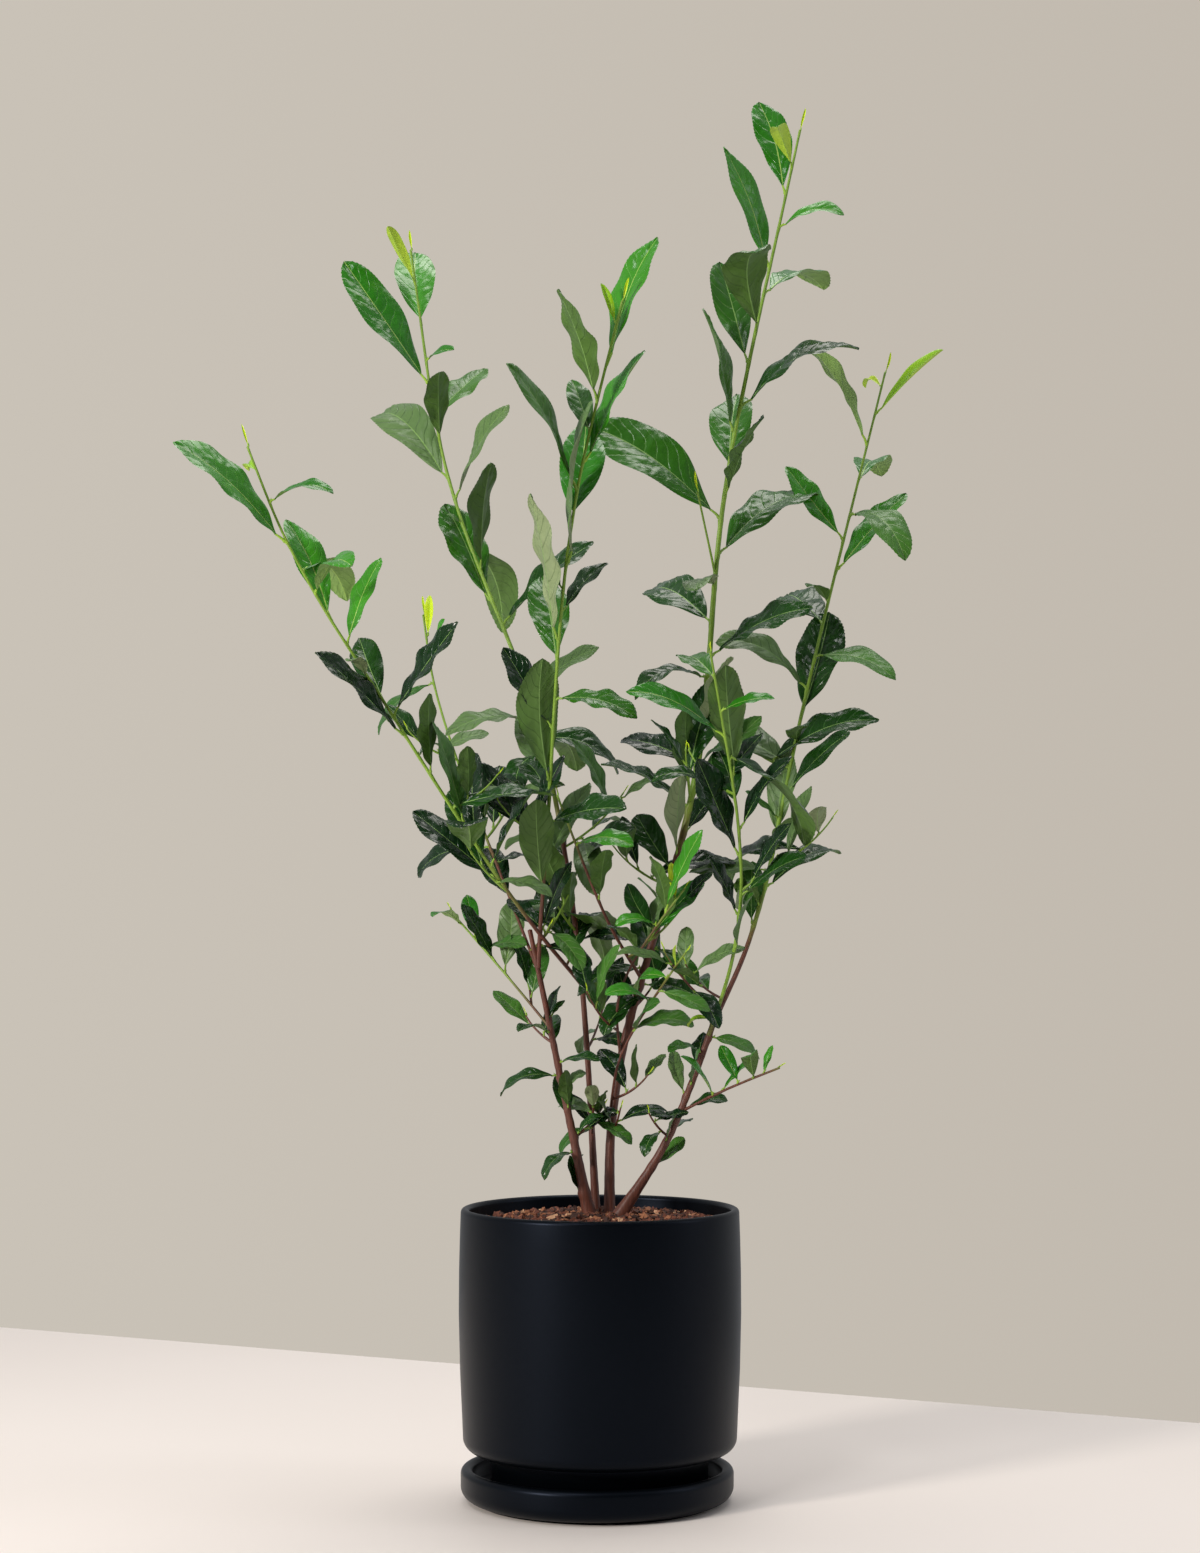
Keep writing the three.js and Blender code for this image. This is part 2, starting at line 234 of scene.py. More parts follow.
table_mesh = bpy.data.meshes.new("table")
left_end, right_end = TABLE_BACK_EDGE
table_corners = [
    (*left_end, 0),
    (left_end[0], TABLE_FRONT, 0),
    (right_end[0], TABLE_FRONT, 0),
    (*right_end, 0),
]
table_mesh.from_pydata(table_corners, [], [(0, 1, 2, 3)])
table_mesh.materials.append(painted_board())
table = bpy.data.objects.new("table", table_mesh)
bpy.context.scene.collection.objects.link(table)
print("table", [tuple(c[:2]) for c in table_corners])


# %% Lamps
def add_lamp(name, place, size, watts, colour):
    """A soft rectangular lamp that looks at the middle of the plant."""
    data = bpy.data.lights.new(name, "AREA")
    data.shape = "RECTANGLE"
    data.size, data.size_y = size
    data.energy = watts
    data.color = linear(colour)[:3]
    lamp = bpy.data.objects.new(name, data)
    bpy.context.scene.collection.objects.link(lamp)
    lamp.location = place
    lamp.rotation_euler = (Vector((0, 0, 0.5)) - lamp.location).to_track_quat("-Z", "Y").to_euler()


add_lamp("window", (-1.80, -1.62, 1.00), (0.4, 0.4), 46, "#fff8f0")
add_lamp("front", (-0.9, -1.5, 2.2), (0.45, 0.45), 12, "#ffffff")
add_lamp("top", (0.2, 0.6, 2.4), (1.4, 1.0), 22, "#fffaf5")
add_lamp("side", (1.9, -0.3, 1.1), (0.5, 1.4), 5, "#f6f9ff")
print("lamps:", [lamp.name for lamp in bpy.data.lights])

# %% [markdown]
# ## Meshes from arrays
#
# Leaves, bark and chips are thousands of small shapes. Each is worked out as an array of points and
# an array of four-sided faces, which is quick, and a Heap gathers them until they are joined into one
# piece. Every face carries the number of its material.


# %% A heap of shapes that becomes one piece
VEIN_MAP = "veins"


class Heap:
    """Points, four-sided faces, a material number for each face, and two vein numbers a point."""

    def __init__(self):
        """An empty heap."""
        self.points, self.faces, self.finishes, self.veins, self.count = [], [], [], [], 0

    def add(self, points, faces, finish=0, veins=0):
        """Puts one more shape on the heap."""
        self.points.append(np.asarray(points, np.float32))
        self.faces.append(np.asarray(faces, np.int32) + self.count)
        self.finishes.append(np.broadcast_to(np.asarray(finish, np.int32), len(faces)))
        self.veins.append(np.broadcast_to(np.asarray(veins, np.float32), (len(points), 2)))
        self.count += len(points)

    def triangles(self):
        """How many triangles the faces make."""
        return 2 * sum(len(faces) for faces in self.faces)

    def build(self, name, materials, smooth=True, veined=False):
        """The heap as one named piece that rides on the body."""
        points, faces = np.concatenate(self.points), np.concatenate(self.faces)
        mesh = bpy.data.meshes.new(name)
        mesh.vertices.add(len(points))
        mesh.vertices.foreach_set("co", points.ravel())
        mesh.loops.add(faces.size)
        mesh.loops.foreach_set("vertex_index", faces.ravel())
        mesh.polygons.add(len(faces))
        mesh.polygons.foreach_set("loop_start", np.arange(0, faces.size, 4, dtype=np.int32))
        mesh.polygons.foreach_set("material_index", np.concatenate(self.finishes))
        mesh.polygons.foreach_set("use_smooth", np.full(len(faces), smooth))
        if veined:
            vein_map = mesh.uv_layers.new(name=VEIN_MAP)
            vein_map.data.foreach_set("uv", np.concatenate(self.veins)[faces.ravel()].ravel())
        for material in materials:
            mesh.materials.append(material)
        mesh.update()
        mesh.validate()
        piece = bpy.data.objects.new(name, mesh)
        bpy.context.scene.collection.objects.link(piece)
        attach(piece, BODY)
        print(name, self.triangles(), "triangles")
        return piece


def grid_faces(rows, columns, closed=False):
    """Four-sided faces of a grid of points, row after row. A closed one joins its last column to
    its first."""
    row = np.arange(rows - 1)[:, None] * columns
    column = np.arange(columns if closed else columns - 1)[None, :]
    after = (column + 1) % columns
    corners = row + column, row + after, row + columns + after, row + columns + column
    return np.stack(corners, -1).reshape(-1, 4)


print("a grid of 3 by 3 points has", len(grid_faces(3, 3)), "faces")

# %% [markdown]
# ## The turned pot and saucer
#
# The pot is a cast cylinder with a slight belly, a rounded lip and a rounded bottom edge that hovers
# over the saucer on a narrower foot. Lips and edges are where a glaze catches the light, so a profile
# with fine arcs is drawn from the same sizes as the construction model and turned in many steps.


# %% Turning a profile
def arc(radius, height, size, start, end, steps=8):
    """Points of an arc between two angles in degrees, as (radius, height)."""
    angles = np.radians(np.linspace(start, end, steps + 1))
    return [(radius + size * math.cos(a), height + size * math.sin(a)) for a in angles]


def turned(profile, centre_x=0.0, sides=192):
    """A profile in millimetres turned about an upright axis: its points and faces."""
    angles = np.linspace(0, 2 * np.pi, sides, endpoint=False)
    radii = np.array([radius for radius, _ in profile])[:, None]
    heights = np.array([height for _, height in profile])[:, None] * np.ones(sides)
    rings = np.stack([centre_x + radii * np.cos(angles), radii * np.sin(angles), heights], -1)
    return rings.reshape(-1, 3) * MM, grid_faces(len(profile), sides, closed=True)


print("an arc of four steps:", [(round(r, 1), round(h, 1)) for r, h in arc(0, 0, 1, 0, 90, 4)])

# %% Profiles of the pot and of the saucer
POT_RIM_RADIUS, POT_BELLY_RADIUS, POT_LOWER_RADIUS, POT_INNER_RADIUS = 100.2, 101.6, 98.6, 94.0
POT_FOOT_RADIUS, POT_FOOT_WALL, POT_BOTTOM, POT_FLOOR = 78.0, 8.0, 36.5, 45.0
SAUCER_RADIUS, SAUCER_FOOT_RADIUS, SAUCER_WALL, SAUCER_FLOOR = 98.2, 86.0, 8.8, 7.0
ON_AXIS = 0.01  # a turned profile ends a hair off the axis

pot_foot, pot_top = (corner.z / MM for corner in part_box("pot"))
lip = (POT_RIM_RADIUS - POT_INNER_RADIUS) / 2
pot_profile = [
    (ON_AXIS, POT_BOTTOM), (POT_FOOT_RADIUS - POT_FOOT_WALL, POT_BOTTOM),
    (POT_FOOT_RADIUS - POT_FOOT_WALL, pot_foot), (POT_FOOT_RADIUS, pot_foot),
    *arc(POT_FOOT_RADIUS + 1.5, POT_BOTTOM - 1.5, 1.5, 180, 90, 3),
    *arc(POT_LOWER_RADIUS - 10, POT_BOTTOM + 10, 10, -90, 0, 12),
    (99.4, 66), (100.7, 95), (POT_BELLY_RADIUS, 135), (101.4, 165), (100.8, 190),
    *arc(POT_RIM_RADIUS - lip, pot_top - lip, lip, 0, 180, 14),
    (POT_INNER_RADIUS, POT_FLOOR + 6), *arc(POT_INNER_RADIUS - 6, POT_FLOOR + 6, 6, 0, -90, 5),
    (ON_AXIS, POT_FLOOR),
]

saucer_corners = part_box("saucer")
saucer_x = (saucer_corners[0].x + saucer_corners[1].x) / 2 / MM
saucer_top = saucer_corners[1].z / MM
saucer_lip = SAUCER_WALL / 2
saucer_profile = [
    (ON_AXIS, 0), (SAUCER_FOOT_RADIUS, 0), (SAUCER_FOOT_RADIUS + 0.6, 1.8),
    *arc(SAUCER_RADIUS - 9.8, 11.6, 9.8, -80, 0, 10),
    *arc(SAUCER_RADIUS - saucer_lip, saucer_top - saucer_lip, saucer_lip, 0, 165, 12),
    (SAUCER_RADIUS - SAUCER_WALL, SAUCER_FLOOR + 5),
    *arc(SAUCER_RADIUS - SAUCER_WALL - 5, SAUCER_FLOOR + 5, 5, 0, -90, 5), (ON_AXIS, SAUCER_FLOOR),
]
print("pot", len(pot_profile), "rings, saucer", len(saucer_profile), "rings, lip radius", round(lip, 1), "mm")

# %% [markdown]
# ### Matt black glaze
#
# Pot and saucer are stoneware, cast, and fired with a satin-matt black glaze. Such a glaze sets full
# of minute crystals that spread each reflection into a broad soft sheen, and it lies a little thicker
# in one place than in another, so the shine wanders. The crystals are far finer than a millimetre,
# and are drawn about a millimetre wide, as coarse as they need to be to show.


# %% Glaze
def matt_black_glaze():
    """A nearly black glaze whose shine wanders where it has pooled, with fine crystals in it."""
    material, tree, place = new_material("matt_black_glaze")
    pools = noise(tree, place, 14.0, 3.0)
    shine = add_node(tree, "ShaderNodeMapRange", {"To Min": 0.32, "To Max": 0.42}, {"Value": pools})
    colour = blend(tree, pools, "#020406", "#05070a")
    crystals = bump(tree, noise(tree, place, 900.0), 0.08, 0.4)
    surface(
        tree,
        {"IOR": 1.24, "Specular Tint": linear("#bccff6")},
        {"Base Color": colour, "Roughness": shine.outputs["Result"], "Normal": crystals},
    )
    return material


glaze = matt_black_glaze()
pot_heap, saucer_heap = Heap(), Heap()
pot_heap.add(*turned(pot_profile))
saucer_heap.add(*turned(saucer_profile, saucer_x))
pot = pot_heap.build("glazed_pot", [glaze])
saucer = saucer_heap.build("glazed_saucer", [glaze])
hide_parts("pot")
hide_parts("saucer")

# %% [markdown]
# ## Potting mix
#
# Orchid-grade pine bark and a little moss fill the pot: chips that split along the grain, from crumbs
# to pieces as long as a thumbnail. Each chip is a small block of 3 by 3 by 2 points, pushed out of
# shape and laid at random. The mix lies a few millimetres lower at the wall of the pot than round the
# stems. Flat shading keeps the broken faces crisp. A dark disc under them closes the gaps.

# %% Chips
CHIP_COUNT = 2600
MIX_RADIUS = 93.0
mix_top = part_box("potting_mix")[1].z / MM
MIX_DROP = 7.0  # how much lower the mix lies at the wall than round the stems
CHIP_GRID = np.stack(np.meshgrid([0, 1, 2], [0, 1, 2], [0, 1], indexing="ij"), -1).reshape(-1, 3)


def block_faces():
    """The outside faces of a block of 3 by 3 by 2 points."""
    def index(i, j, k):
        return (i * 3 + j) * 2 + k

    faces = []
    for i in range(2):
        for j in range(2):
            faces.append([index(i, j, 1), index(i + 1, j, 1), index(i + 1, j + 1, 1), index(i, j + 1, 1)])
            faces.append([index(i, j, 0), index(i, j + 1, 0), index(i + 1, j + 1, 0), index(i + 1, j, 0)])
        faces.append([index(i, 0, 0), index(i + 1, 0, 0), index(i + 1, 0, 1), index(i, 0, 1)])
        faces.append([index(i, 2, 0), index(i, 2, 1), index(i + 1, 2, 1), index(i + 1, 2, 0)])
        faces.append([index(0, i, 0), index(0, i, 1), index(0, i + 1, 1), index(0, i + 1, 0)])
        faces.append([index(2, i, 0), index(2, i + 1, 0), index(2, i + 1, 1), index(2, i, 1)])
    return np.array(faces)


def turning(angles):
    """The rotation for three angles in radians about X, Y and Z."""
    (cx, cy, cz), (sx, sy, sz) = np.cos(angles), np.sin(angles)
    about_x = np.array([[1, 0, 0], [0, cx, -sx], [0, sx, cx]])
    about_y = np.array([[cy, 0, sy], [0, 1, 0], [-sy, 0, cy]])
    about_z = np.array([[cz, -sz, 0], [sz, cz, 0], [0, 0, 1]])
    return about_z @ about_y @ about_x


chip_heap = Heap()
chip_faces = block_faces()
disc = [(ON_AXIS, mix_top - 2.5), (50, mix_top - 4.5), (MIX_RADIUS, mix_top - MIX_DROP - 3)]
chip_heap.add(*turned(disc), 0)
for _ in range(CHIP_COUNT):
    size = np.array([draw.uniform(2.5, 9), draw.uniform(1.6, 5), draw.uniform(0.9, 2.6)])
    chip = (CHIP_GRID / (2, 2, 1) - 0.5) * size + draw.normal(0, 0.09, CHIP_GRID.shape) * size
    chip = chip @ turning([draw.normal(0, 0.45), draw.normal(0, 0.45), draw.uniform(0, 2 * np.pi)]).T
    radius = (MIX_RADIUS - size[0] / 2) * math.sqrt(draw.uniform(0, 1))
    angle = draw.uniform(0, 2 * np.pi)
    height = mix_top - 2.5 - MIX_DROP * (radius / MIX_RADIUS) ** 2 + draw.uniform(-1.5, 1.5)
    chip += (radius * math.cos(angle), radius * math.sin(angle), height)
    chip[:, 2] = np.minimum(chip[:, 2], mix_top + 3)
    chip_heap.add(chip * MM, chip_faces, draw.choice(4, p=[0.38, 0.36, 0.18, 0.08]))


# %% [markdown]
# ### Pine bark chips
#
# Bark that has been chopped, aged and watered: dull, dark red-brown, with brighter tan where a chip
# has just split. It has hardly any gloss. The grain is drawn as a noise under two millimetres across.


# %% Bark chip finish
def chopped_bark(name, dark, light):
    """Rough bark between a dark and a light colour of its grain."""
    material, tree, place = new_material(name)
    grain = noise(tree, place, 600.0, 3.0)
    relief = bump(tree, grain, 0.5, 0.3)
    surface(tree, {"Roughness": 0.8}, {"Base Color": blend(tree, grain, dark, light), "Normal": relief})
    return material


chip_finishes = [
    chopped_bark("aged_bark_chip", "#24130e", "#4a2a1f"),
    chopped_bark("red_bark_chip", "#4a2318", "#7d4630"),
    chopped_bark("tan_bark_chip", "#7a4630", "#a8704c"),
    chopped_bark("split_bark_chip", "#b07f5c", "#dcb08c"),
]
mix = chip_heap.build("bark_chips", chip_finishes, smooth=False)
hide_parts("potting_mix")

# %% [markdown]
# ## Where the limbs run
#
# Each limb of the construction model is a tube that climbs all the way. Level cuts through it give
# its middle line and its thickness. The line is then smoothed, because a living shoot has no corners,
# and carried on a little at both ends, so that a shoot starts inside the limb that bears it.

# %% The middle line of a limb
CUT_STEP = 9.0  # mm between two cuts
END_MARGIN = 3.0  # mm kept from the slanting ends
HEXAGON = math.cos(math.pi / 6)  # a limb of the construction model is a hexagon round the true limb
WIDEST = 1.7  # a limb's greatest radius over its middle one, against cuts that catch a fork
LIMBS = sorted(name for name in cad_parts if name.startswith(("stem_", "shoot_")))


def limb_line(node):
    """Points in mm along a limb from foot to tip, and its radius at each."""
    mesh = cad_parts[node].data
    points = np.array([v.co for v in mesh.vertices]) / MM
    ends = points[np.array([e.vertices for e in mesh.edges])]
    low, high = points[:, 2].min() + END_MARGIN, points[:, 2].max() - END_MARGIN
    line, cuts = [], []
    for cut in np.linspace(low, high, int((high - low) / CUT_STEP) + 2):
        a, b = ends[:, 0], ends[:, 1]
        crossing = (a[:, 2] - cut) * (b[:, 2] - cut) < 0
        a, b = a[crossing], b[crossing]
        met = a + (b - a) * ((cut - a[:, 2]) / (b[:, 2] - a[:, 2]))[:, None]
        least, most = met.min(0), met.max(0)
        line.append([*(least + most)[:2] / 2, cut])
        cuts.append(met - line[-1])
    line = np.array(line)
    ways = np.gradient(line, axis=0)
    ways /= np.linalg.norm(ways, axis=1)[:, None]
    from_axis = [np.linalg.norm(np.cross(met, way), axis=1) for met, way in zip(cuts, ways)]
    radii = HEXAGON * np.array([distances.max() for distances in from_axis])
    radii = np.minimum(radii, np.median(radii) * WIDEST)
    for _ in range(6):
        line[1:-1] = (line[:-2] + 2 * line[1:-1] + line[2:]) / 4
        radii[1:-1] = (radii[:-2] + 2 * radii[1:-1] + radii[2:]) / 4
    foot_way, tip_way = line[0] - line[1], line[-1] - line[-2]
    foot = line[0] + foot_way / np.linalg.norm(foot_way) * (END_MARGIN + 3)
    tip = line[-1] + tip_way / np.linalg.norm(tip_way) * END_MARGIN
    return np.vstack([foot, line, tip]), np.hstack([radii[0], radii, radii[-1]])


limb_lines = {name: limb_line(name) for name in LIMBS}


def along_limb(limb, height):
    """The point on a limb's middle line at a height, the limb's direction there, and its radius."""
    line, radii = limb_lines[limb]
    step = np.clip(np.searchsorted(line[:, 2], height) - 1, 0, len(line) - 2)
    way = line[step + 1] - line[step]
    share = np.clip((height - line[step, 2]) / way[2], 0, 1)
    return line[step] + share * way, way / np.linalg.norm(way), radii[step]


for name in LIMBS:
    print(name, "from", *limb_lines[name][0][0].round(), "to", *limb_lines[name][0][-1].round())

# %% [markdown]
# ## One leaf
#
# A tea leaf is leathery and longer than broad. It widens evenly from a wedge-shaped foot, is widest
# past its middle and rounds off to a blunt tip. Its margin is finely saw-toothed. A pale midrib runs
# along it, the two halves lift from it like a shallow valley, and the blade swells up between the
# sunken side veins. It could be one flat card, but the largest leaves here are twelve centimetres
# long and show all of this, so each is a grid of points: rows along the midrib, two to a tooth, and
# columns across. The midrib is a curve that bends more and more towards the tip. The underside is a
# second skin, which meets the first at the margin.

# %% Sizes and habits of a leaf
TOOTH = 2.9  # mm from one tooth to the next on a grown leaf
TOOTH_DEPTH = 0.34
VEIN_GAP = 11.5  # mm between side veins
SKIN = 0.35  # mm, the thickness of the blade
HALF_COLUMNS = np.array([0.1, 0.18, 0.33, 0.49, 0.65, 0.8, 0.93, 1])  # from the midrib to the margin
COLUMNS = np.concatenate([-HALF_COLUMNS[::-1], HALF_COLUMNS])
RIB_LEFT, RIB_RIGHT = 7, 8  # the two columns beside the midrib

# age: lift of the halves in degrees, swelling between the veins in mm, waviness of the margin in mm
HABITS = {
    "old": (13, 1.5, 2.2),
    "painted_sheen": (12, 1.3, 2.2),
    "mid": (12, 1.1, 1.8),
    "bright": (15, 1.0, 1.4),
    "young": (42, 0.3, 0.5),
    "bud": (60, 0.0, 0.2),
}


def unit(vector):
    """A direction of length 1."""
    vector = np.asarray(vector, float)
    return vector / np.linalg.norm(vector)


# %% The midrib
def midrib(length, curl, rows):
    """A curve in a plane from 0 to a tip at the given distance, as complex numbers. It turns
    through the angle curl, mostly in its outer half. Also its direction, and its true length."""
    share = np.linspace(0, 1, rows)
    turn = np.radians(curl) * share**1.5
    heading = np.exp(-1j * turn)
    steps = (heading[1:] + heading[:-1]) / 2 / (rows - 1)
    curve = np.concatenate([[0], np.cumsum(steps)])
    fit = length / curve[-1]
    return curve * fit, heading * fit / abs(fit), abs(fit)


print("a midrib of 100 mm with a curl of 60 degrees is", round(midrib(100, 60, 40)[2], 1), "mm long")


# %% The outline and the relief of the blade
def half_width(share, broad, taper, point):
    """Half of the blade's width at each share of its length. A low taper gives a full foot, a low
    point a blunt tip."""
    widest = taper / (taper + point)
    return 0.5 * broad * (share / widest) ** taper * ((1 - share) / (1 - widest)) ** point + 0.15


def vein_number(share, side, length, width):
    """How many side veins lie between the foot and each point. A vein slants forward."""
    across = np.abs(side)
    gap = VEIN_GAP * max(0.5, min(1, length / 100))
    forward = across * width * (0.75 + 0.55 * across)
    wander = 0.2 * np.sin(9 * share + 5 * side)
    return (share * length - forward) / gap + 0.5 * (side > 0) + wander


def quilting(number, share, side, length, depth):
    """How far the blade stands up between its side veins, in mm, at columns from -1 to 1."""
    across = np.abs(side)
    swelling = np.abs(np.sin(np.pi * number)) ** 0.7
    uneven = 0.6 + 0.4 * np.sin(2.1 * number + 6 * side)
    reach = np.clip(across / 0.25, 0, 1) * np.clip((1 - across) / 0.22, 0, 1)
    return depth * min(1, length / 85) * swelling * uneven * reach


# %% The blade
def blade(foot, tip, looks, broad, age, curl):
    """The points of a leaf's two skins, their faces, which of the faces of one skin are its rib,
    and for each point its vein number and how far across it lies."""
    reach = tip - foot
    distance = np.linalg.norm(reach)
    ahead = reach / distance
    up = unit(looks - ahead * np.dot(looks, ahead))
    across = np.cross(ahead, up)
    small = min(1, distance / 80)
    tooth = TOOTH * max(0.6, small)
    rows = 2 * max(6, round(distance / tooth)) + 1
    curve, heading, length = midrib(distance, curl, rows)
    share = np.linspace(0, 1, rows)[:, None]
    side = np.repeat(COLUMNS[None, :], rows, 0)
    taper, point = draw.uniform(0.85, 1.1), draw.uniform(0.6, 0.85)
    width = half_width(share, broad, taper, point)
    rib = np.clip((0.55 - 0.35 * share) * small / width, 0.02, 0.15)
    side[:, RIB_LEFT], side[:, RIB_RIGHT] = -rib[:, 0], rib[:, 0]

    lift, swelling, wave = HABITS[age]
    teeth = np.zeros(rows)
    teeth[1:-2:2] = TOOTH_DEPTH * tooth / TOOTH * (age != "bud")
    teeth *= np.clip((share[:, 0] - 0.1) / 0.1, 0, 1)
    sickle = draw.normal(0, 0.025) * length * np.sin(np.pi * share[:, 0])
    twist = np.radians(draw.normal(0, 10)) * (share[:, 0] - 0.4) * 2
    lift = np.radians(lift + draw.normal(0, 3))
    ripple = draw.uniform(1.6, 3.2)
    phases = draw.uniform(0, 2 * np.pi, 2)

    margin = np.abs(side)
    outwards = side * width * math.cos(lift) * (1 - 0.05 * margin)
    outwards[:, 0] -= teeth
    outwards[:, -1] += teeth
    outwards += sickle[:, None]
    rise = margin * width * math.sin(lift) * (1 - 0.4 * margin)
    phase = np.where(side > 0, phases[0], phases[1])
    ripples = np.sin(2 * np.pi * ripple * share + phase) * np.sin(np.pi * share) ** 0.5
    rise += wave * small * margin**2 * ripples
    number = vein_number(share, side, length, width)
    rise += quilting(number, share, side, length, swelling)
    forward = np.zeros_like(side)
    forward[:, 0] += teeth * 1.6
    forward[:, -1] += teeth * 1.6
    turned_out = outwards * np.cos(twist)[:, None] - rise * np.sin(twist)[:, None]
    turned_up = outwards * np.sin(twist)[:, None] + rise * np.cos(twist)[:, None]

    def place(height):
        along = curve.real[:, None] + forward * heading.real[:, None] - height * heading.imag[:, None]
        above = curve.imag[:, None] + forward * heading.imag[:, None] + height * heading.real[:, None]
        return foot + along[..., None] * ahead + above[..., None] * up + turned_out[..., None] * across

    thickness = SKIN * (1 - margin**6)
    thickness[:, RIB_LEFT : RIB_RIGHT + 1] += 0.6 * (1 - share) * small
    faces = grid_faces(rows, len(COLUMNS))
    points = np.concatenate([place(turned_up).reshape(-1, 3), place(turned_up - thickness).reshape(-1, 3)])
    on_rib = np.tile(np.arange(len(COLUMNS) - 1) == RIB_LEFT, rows - 1)
    veins = np.tile(np.stack([number, side], -1).reshape(-1, 2), (2, 1))
    return points, np.concatenate([faces, faces[:, ::-1] + rows * len(COLUMNS)]), on_rib, veins


probe = blade(np.zeros(3), np.array([100.0, 0, 0]), np.array([0, 0, 1.0]), 40, "old", 20)
probe_width = round(float(np.ptp(probe[0][:, 1])), 1)
print("a leaf of 100 mm:", 2 * len(probe[1]), "triangles, width", probe_width, "mm")

# %% [markdown]
# ### Leaf finishes
#
# An old tea leaf has a thick clear wax over a deep green blade, so it mirrors its surroundings softly
# and looks greyer where it faces the light. The underside has no wax and is a dull olive. Young
# leaves are thin, bright yellow-green and softer in gloss. Between the side veins the blade is
# puckered, which a noise with swellings about 7 mm long raises here. Leaves differ from one to the
# next, so most ages have two or three plain greens, dealt out leaf by leaf.


# %% Leaf material
def leaf_skin(name, colour, shade, vein, roughness, quilt):
    """A leaf's skin: two close greens in blotches of about 15 mm, thin lines of another green along
    the side veins, and a blade that swells up between them in puckers about 7 mm long."""
    material, tree, place = new_material(name)
    green = blend(tree, noise(tree, place, 65.0), shade, colour)
    vein_map = add_node(tree, "ShaderNodeUVMap", uv_map=VEIN_MAP).outputs["UV"]
    number = add_node(tree, "ShaderNodeSeparateXYZ", links={"Vector": vein_map}).outputs["X"]
    wave = calculated(tree, "SINE", calculated(tree, "MULTIPLY", number, math.pi))
    line = ramp(tree, calculated(tree, "ABSOLUTE", wave), -0.05, 0.24)
    lined = blend(tree, line, vein, green)
    puckers = calculated(tree, "MULTIPLY_ADD", line, 0.3, {2: noise(tree, place, 140.0, 1.0)})
    relief = bump(tree, puckers, 1.0, quilt)
    surface(tree, {"Roughness": roughness, "IOR": 1.4}, {"Base Color": lined, "Normal": relief})
    return material


# name: colour, darker blotches, vein lines, roughness, height of the puckers in mm
MATURE_FINISHES = {
    "waxy_leaf_dark": ("#143417", "#0c230e", "#284a27", 0.23, 0.9),
    "waxy_leaf_deep": ("#1f4a15", "#13360e", "#356027", 0.24, 0.9),
    "waxy_leaf_green": ("#316a15", "#21520e", "#4b7c2e", 0.25, 0.9),
    "firm_leaf_green": ("#34691f", "#275616", "#52793a", 0.32, 0.9),
    "firm_leaf_light": ("#47792a", "#376721", "#648a46", 0.36, 0.9),
    # painted sheen: the next two pale grey-green finishes stand in for light glancing off the wax of leaves
    # that face up, on the upper face and on the underside
    "painted_sheen_leaf": ("#64824c", "#4f6f3c", "#3f5c30", 0.4, 0.9),
    "painted_sheen_underside": ("#8c9b72", "#6f8257", "#56693f", 0.5, 0.7),
    "leaf_underside": ("#507330", "#426226", "#375520", 0.48, 0.7),
    "pale_rib": ("#7fa45a", "#6d924c", "#7fa45a", 0.45, 0.2),
    "green_stalk": ("#7c9f3a", "#6b8f30", "#7c9f3a", 0.45, 0.2),
}
YOUNG_FINISHES = {
    "soft_leaf_green": ("#2c7a14", "#20640e", "#458a2c", 0.24, 0.9),
    "soft_leaf_bright": ("#3f9020", "#2f7a16", "#5aa03c", 0.26, 0.9),
    "new_leaf_lime": ("#98c81c", "#7fb414", "#a8d040", 0.36, 0.5),
    "new_leaf_yellow": ("#d2e628", "#aed01c", "#d8ea58", 0.38, 0.5),
    "soft_underside": ("#7d9f52", "#6c9047", "#5f823e", 0.5, 0.6),
    "new_underside": ("#b4d240", "#9cc032", "#a4c63c", 0.5, 0.5),
    "fresh_rib": ("#9cc060", "#8cb052", "#9cc060", 0.45, 0.2),
    "fresh_stalk": ("#8fb53a", "#7fa530", "#8fb53a", 0.45, 0.2),
}
# age: upper skins to choose from, underside, rib
AGE_FINISHES = {
    "old": (("waxy_leaf_dark", "waxy_leaf_deep", "waxy_leaf_green"), "leaf_underside", "pale_rib"),
    # painted sheen: these leaves get the pale grey-green finishes in place of a real reflection
    "painted_sheen": (("painted_sheen_leaf",), "painted_sheen_underside", "pale_rib"),
    "mid": (("firm_leaf_green", "firm_leaf_light"), "leaf_underside", "pale_rib"),
    "bright": (("soft_leaf_green", "soft_leaf_bright"), "soft_underside", "fresh_rib"),
    "young": (("new_leaf_lime", "new_leaf_yellow"), "new_underside", "fresh_rib"),
    "bud": (("new_leaf_yellow",), "new_underside", "fresh_rib"),
}
MATURE_AGES = ("old", "painted_sheen", "mid")
finish_materials = {
    name: leaf_skin(name, *look) for name, look in {**MATURE_FINISHES, **YOUNG_FINISHES}.items()
}
print("leaf finishes:", len(finish_materials))

# %% [markdown]
# ### A leaf on its stalk
#
# The stalk is a few millimetres long and leaves the limb at a slant. A small bud sits in the angle
# above it, and the limb swells into a cushion below, so the bark needs to know where every leaf
# stands. Leaves of each region are gathered in two heaps, the mature and the young.

# %% Growing a leaf
STALK_SIDES = 7
BUD_SIDES = 6
BUD_LENGTH = 3.4  # mm
SHADED_BELOW = 560  # mm, where the leaves are darker

